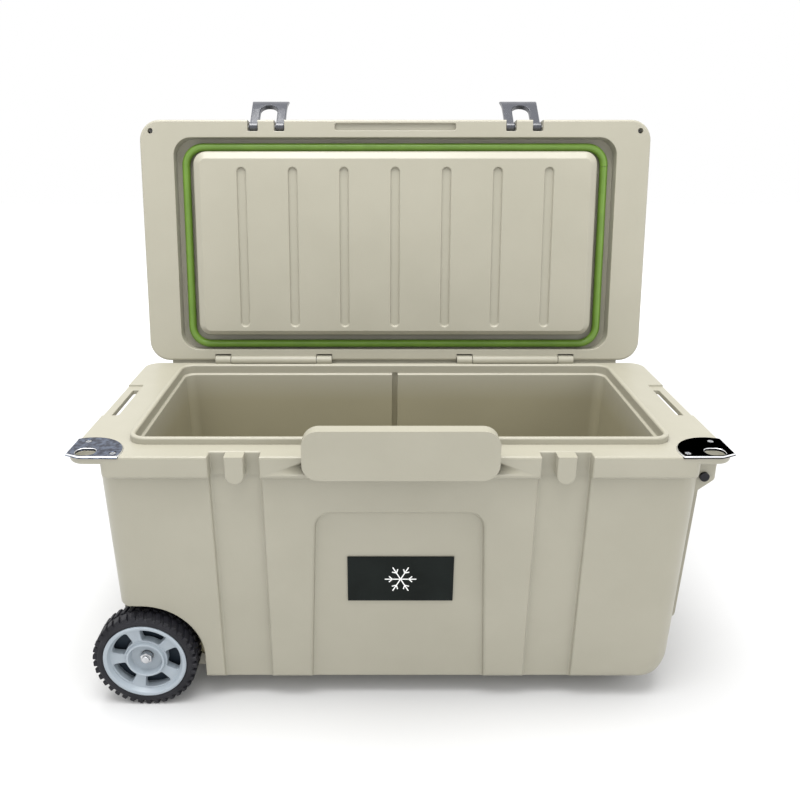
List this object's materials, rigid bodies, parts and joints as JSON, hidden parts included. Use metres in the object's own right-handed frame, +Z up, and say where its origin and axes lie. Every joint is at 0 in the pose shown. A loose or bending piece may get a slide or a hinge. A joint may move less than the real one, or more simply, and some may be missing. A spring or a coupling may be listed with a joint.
{
  "type": "wheeled cooler",
  "caption": "Hard-sided insulated chest cooler on wheels, shown with its hinged lid and latches open, steel corner plates and a swing-out tow handle.",
  "frame": {"origin": "middle of the bounding box's bottom, on the ground under the cooler", "axes": "+X along the tub from the wheeled end to the tow-handle end, +Y from the front with its latches to the hinged back, +Z up"},
  "size_m": [0.875, 0.558, 0.8359],
  "materials": {
    "tan_plastic": "smooth, slightly glossy, faint rotational-mould mottle",
    "liner_plastic": "smooth, slightly glossy",
    "foam": "fine closed cell",
    "polished_steel": "polished, faintly brushed",
    "zinc_steel": "plain zinc plated",
    "seal_green": "soft matte",
    "latch_black": "moulded, satin",
    "black_rubber": "matte",
    "tyre_rubber": "matte with lugs",
    "grey_wheel_plastic": "satin",
    "badge_black": "satin",
    "black_plastic": "satin"
  },
  "bodies": {
    "tub": {"tub_shell": "tan_plastic", "tub_liner": "liner_plastic", "tub_foam": "foam", "name_plate": "badge_black", "foot_front": "black_rubber", "foot_back": "black_rubber", "corner_plate_left": "polished_steel", "corner_plate_right": "polished_steel", "hinge_pin_left": "zinc_steel", "hinge_pin_right": "zinc_steel", "axle_rod": "zinc_steel", "drain_fitting": "black_plastic", "drain_seal": "black_rubber", "plate_screw_left_1": "polished_steel", "plate_screw_left_2": "polished_steel", "plate_screw_right_1": "polished_steel", "plate_screw_right_2": "polished_steel", "axle_washer_front": "zinc_steel", "axle_spacer_front": "grey_wheel_plastic", "axle_nut_front": "polished_steel", "handle_bolt_front": "polished_steel", "axle_washer_back": "zinc_steel", "axle_spacer_back": "grey_wheel_plastic", "axle_nut_back": "polished_steel", "handle_bolt_back": "polished_steel"},
    "lid": {"lid_shell": "tan_plastic", "lid_liner": "tan_plastic", "lid_foam": "foam", "lid_gasket": "seal_green", "latch_pin_left": "zinc_steel", "latch_pin_right": "zinc_steel"},
    "left_latch": {"latch_left": "latch_black"},
    "right_latch": {"latch_right": "latch_black"},
    "front_wheel": {"tyre_front": "tyre_rubber", "wheel_rim_front": "grey_wheel_plastic", "wheel_bush_front": "zinc_steel"},
    "back_wheel": {"tyre_back": "tyre_rubber", "wheel_rim_back": "grey_wheel_plastic", "wheel_bush_back": "zinc_steel"},
    "tow_handle": {"tow_handle_frame": "polished_steel", "tow_handle_grip": "black_rubber"},
    "drain_plug": {"drain_cap": "black_plastic"}
  },
  "joints": [
    {"name": "lid_hinge", "type": "hinge", "parent": "tub", "child": "lid", "pos_m": [0.0015, 0.12755, 0.403], "axis": [1, 0, 0], "range_deg": [0, 99.5]},
    {"name": "left_latch_pivot", "type": "hinge", "parent": "lid", "child": "left_latch", "pos_m": [-0.215, 0.20705, 0.79019], "axis": [1, 0, 0], "range_deg": [0, 135]},
    {"name": "right_latch_pivot", "type": "hinge", "parent": "lid", "child": "right_latch", "pos_m": [0.218, 0.20705, 0.79019], "axis": [1, 0, 0], "range_deg": [0, 135]},
    {"name": "front_wheel_spin", "type": "hinge", "parent": "tub", "child": "front_wheel", "pos_m": [-0.3625, -0.25345, 0.075], "axis": [0, 1, 0], "continuous": true},
    {"name": "back_wheel_spin", "type": "hinge", "parent": "tub", "child": "back_wheel", "pos_m": [-0.3625, 0.10355, 0.075], "axis": [0, 1, 0], "continuous": true},
    {"name": "tow_handle_pivot", "type": "hinge", "parent": "tub", "child": "tow_handle", "pos_m": [0.4125, -0.07495, 0.355], "axis": [0, -1, 0], "range_deg": [0, 125]},
    {"name": "drain_cap_turn", "type": "hinge", "parent": "tub", "child": "drain_plug", "pos_m": [0.4045, -0.07495, 0.088], "axis": [1, 0, 0], "range_deg": [0, 360]}
  ]
}
